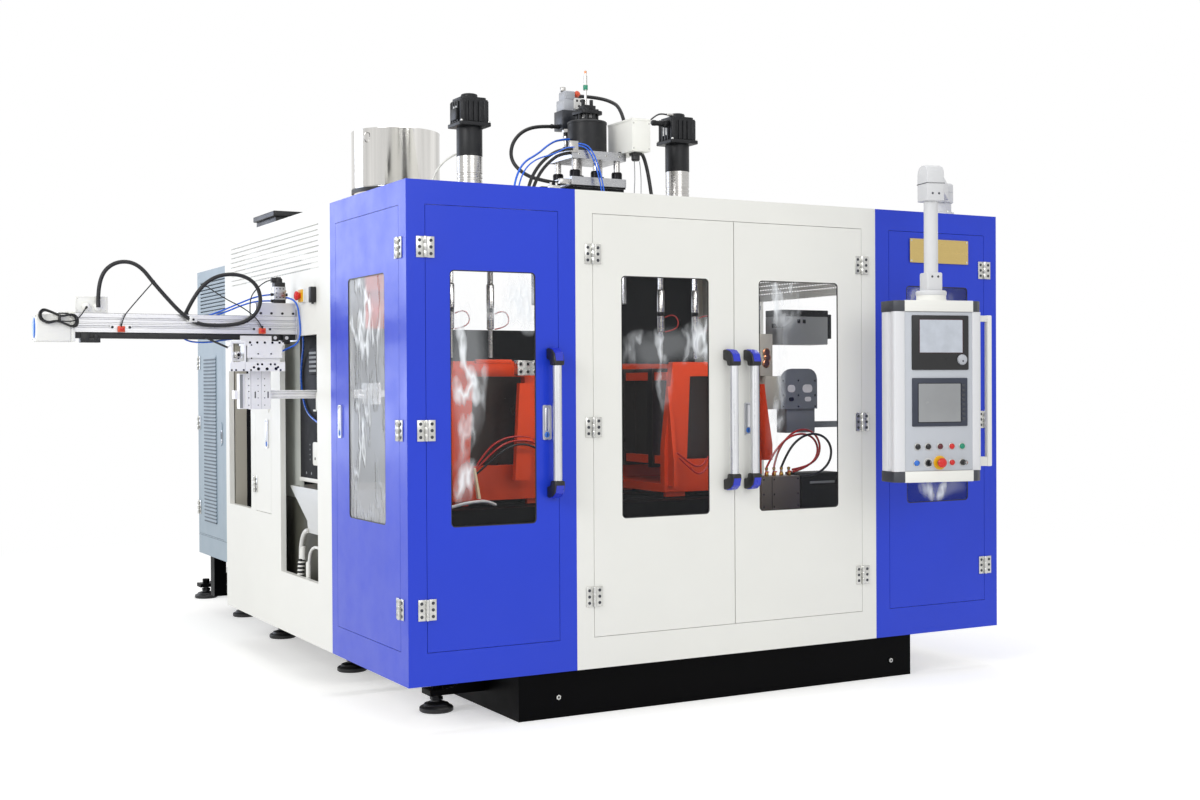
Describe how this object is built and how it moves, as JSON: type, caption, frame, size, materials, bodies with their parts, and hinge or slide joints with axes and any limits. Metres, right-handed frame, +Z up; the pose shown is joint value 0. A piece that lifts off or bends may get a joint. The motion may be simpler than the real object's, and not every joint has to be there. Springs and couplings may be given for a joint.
{
  "type": "extrusion blow moulding machine",
  "caption": "Guarded extrusion blow moulding machine with shuttling moulds, extruder and hopper, take-out robot and swing-arm control pendant.",
  "frame": {"origin": "on the floor, centred across the machine under the line of the two blow stations", "axes": "+X to the right along the front, +Y to the back, +Z up; the front looks to -Y"},
  "size_m": [4.0443, 4.7898, 2.936],
  "materials": {
    "blue_paint": "satin powder coat",
    "white_paint": "satin powder coat",
    "grey_paint": "satin powder coat",
    "black_paint": "semi-gloss paint",
    "orange_paint": "gloss paint",
    "clear_pane": "clear plastic sheet",
    "aluminium": "anodised",
    "handle_tube": "satin tube between plastic caps",
    "steel": "machined",
    "polished_steel": "polished sheet",
    "zinc_steel": "zinc plated",
    "black_plastic": "matt",
    "white_plastic": "satin",
    "red_plastic": "gloss",
    "black_rubber": "smooth hose"
  },
  "bodies": {
    "machine": {"barrel_cover": "black_paint", "base_frame": "black_paint", "centre_front": "white_paint", "discharge_chute": "polished_steel", "electrical_cabinet": "grey_paint", "extruder_barrel": "steel", "extruder_base": "black_paint", "extruder_drive": "orange_paint", "extrusion_head": "steel", "hinge_leaves": "zinc_steel", "hopper": "polished_steel", "hoses_and_cables": "black_rubber", "inner_frame": "white_paint", "left_housing": "blue_paint", "left_side_panel": "white_paint", "levelling_feet": "black_plastic", "outriggers": "black_paint", "rear_guard": "black_paint", "right_housing": "blue_paint", "right_side_panel": "white_paint", "robot_beam": "aluminium", "robot_drive": "white_plastic", "roof_fittings": "aluminium", "roof_panel": "white_paint", "side_controls": "red_plastic", "signal_box": "white_plastic", "top_cylinders": "black_paint", "water_manifold": "steel"},
    "front_left_door_body": {"front_left_door": "blue_paint", "front_left_window": "clear_pane", "front_left_handle": "handle_tube"},
    "front_right_door_body": {"front_right_door": "blue_paint", "front_right_window": "clear_pane"},
    "side_door_body": {"side_door": "blue_paint", "side_window": "clear_pane"},
    "centre_left_door_body": {"centre_left_door": "white_paint", "centre_left_window": "clear_pane", "centre_left_handle": "handle_tube"},
    "centre_right_door_body": {"centre_right_door": "white_paint", "centre_right_window": "clear_pane", "centre_right_handle": "handle_tube"},
    "side_hatch_body": {"side_hatch": "white_paint"},
    "cabinet_door_body": {"cabinet_door": "grey_paint"},
    "left_station": {"left_clamp_frame": "orange_paint"},
    "left_front_platen": {"left_front_mould": "steel"},
    "left_rear_platen": {"left_rear_mould": "steel"},
    "right_station": {"right_clamp_frame": "orange_paint"},
    "right_front_platen": {"right_front_mould": "steel"},
    "right_rear_platen": {"right_rear_mould": "steel"},
    "left_pins": {"left_blow_pins": "steel"},
    "right_pins": {"right_blow_pins": "steel"},
    "screw": {"extruder_screw": "steel"},
    "robot_carriage_body": {"robot_carriage": "aluminium"},
    "robot_lift_body": {"robot_lift": "aluminium"},
    "pendant_arm_body": {"pendant_arm": "aluminium"},
    "pendant_box_body": {"pendant_box": "aluminium", "pendant_face": "black_plastic"},
    "emergency_stop_body": {"emergency_stop": "red_plastic"},
    "selector_body": {"selector_switch": "black_plastic"},
    "key_body": {"key_switch": "zinc_steel"}
  },
  "joints": [
    {"name": "front_left_door_swing", "type": "hinge", "parent": "machine", "child": "front_left_door_body", "pos_m": [-1.387, -1.395, 0], "axis": [0, 0, -1], "range_deg": [0, 110]},
    {"name": "front_right_door_swing", "type": "hinge", "parent": "machine", "child": "front_right_door_body", "pos_m": [1.387, -1.395, 0], "axis": [0, 0, 1], "range_deg": [0, 28]},
    {"name": "side_door_swing", "type": "hinge", "parent": "machine", "child": "side_door_body", "pos_m": [-1.4695, -1.3125, 0], "axis": [0, 0, 1], "range_deg": [0, 110]},
    {"name": "centre_left_door_swing", "type": "hinge", "parent": "machine", "child": "centre_left_door_body", "pos_m": [-0.6735, -1.395, 0], "axis": [0, 0, -1], "range_deg": [0, 110]},
    {"name": "centre_right_door_swing", "type": "hinge", "parent": "machine", "child": "centre_right_door_body", "pos_m": [0.6735, -1.395, 0], "axis": [0, 0, 1], "range_deg": [0, 60]},
    {"name": "side_hatch_swing", "type": "hinge", "parent": "machine", "child": "side_hatch_body", "pos_m": [-1.4695, 0.6063, 0], "axis": [0, 0, -1], "range_deg": [0, 100]},
    {"name": "cabinet_door_swing", "type": "hinge", "parent": "machine", "child": "cabinet_door_body", "pos_m": [-1.3195, 2.297, 0], "axis": [0, 0, -1], "range_deg": [0, 110]},
    {"name": "left_station_travel", "type": "slide", "parent": "machine", "child": "left_station", "axis": [1, 0, 0], "range_m": [0, 0.585]},
    {"name": "right_station_travel", "type": "slide", "parent": "machine", "child": "right_station", "axis": [1, 0, 0], "range_m": [-0.585, 0]},
    {"name": "left_front_mould_open", "type": "slide", "parent": "left_station", "child": "left_front_platen", "axis": [0, -1, 0], "range_m": [0, 0.1]},
    {"name": "left_rear_mould_open", "type": "slide", "parent": "left_station", "child": "left_rear_platen", "axis": [0, 1, 0], "range_m": [0, 0.1]},
    {"name": "right_front_mould_open", "type": "slide", "parent": "right_station", "child": "right_front_platen", "axis": [0, -1, 0], "range_m": [0, 0.1]},
    {"name": "right_rear_mould_open", "type": "slide", "parent": "right_station", "child": "right_rear_platen", "axis": [0, 1, 0], "range_m": [0, 0.1]},
    {"name": "left_pins_travel", "type": "slide", "parent": "machine", "child": "left_pins", "axis": [0, 0, -1], "range_m": [0, 0.18]},
    {"name": "right_pins_travel", "type": "slide", "parent": "machine", "child": "right_pins", "axis": [0, 0, -1], "range_m": [0, 0.18]},
    {"name": "screw_turn", "type": "hinge", "parent": "machine", "child": "screw", "pos_m": [0, 1, 2.196], "axis": [0, 1, 0], "continuous": true},
    {"name": "robot_carriage_travel", "type": "slide", "parent": "machine", "child": "robot_carriage_body", "axis": [-1, 0, 0], "range_m": [0, 0.55]},
    {"name": "robot_lift_travel", "type": "slide", "parent": "robot_carriage_body", "child": "robot_lift_body", "axis": [0, 0, 1], "range_m": [-0.15, 0.04]},
    {"name": "pendant_arm_swing", "type": "hinge", "parent": "machine", "child": "pendant_arm_body", "pos_m": [1.23, -1.28, 0], "axis": [0, 0, 1], "range_deg": [0, 80]},
    {"name": "pendant_box_turn", "type": "hinge", "parent": "pendant_arm_body", "child": "pendant_box_body", "pos_m": [0.78, -1.72, 0], "axis": [0, 0, 1], "range_deg": [-60, 60]},
    {"name": "emergency_stop_press", "type": "slide", "parent": "pendant_box_body", "child": "emergency_stop_body", "axis": [0.2079, 0.9781, 0], "range_m": [0, 0.005], "stiffness_N_per_m": 600},
    {"name": "selector_turn", "type": "hinge", "parent": "pendant_box_body", "child": "selector_body", "pos_m": [0.71562, -1.77277, 0.984], "axis": [-0.2079, -0.9781, 0], "range_deg": [-45, 45]},
    {"name": "key_turn", "type": "hinge", "parent": "pendant_box_body", "child": "key_body", "pos_m": [0.87408, -1.80645, 0.984], "axis": [-0.2079, -0.9781, 0], "range_deg": [0, 90]}
  ],
  "couplings": [
    {"joint": "left_rear_mould_open", "follows": "left_front_mould_open", "ratio": 1},
    {"joint": "right_rear_mould_open", "follows": "right_front_mould_open", "ratio": 1}
  ]
}
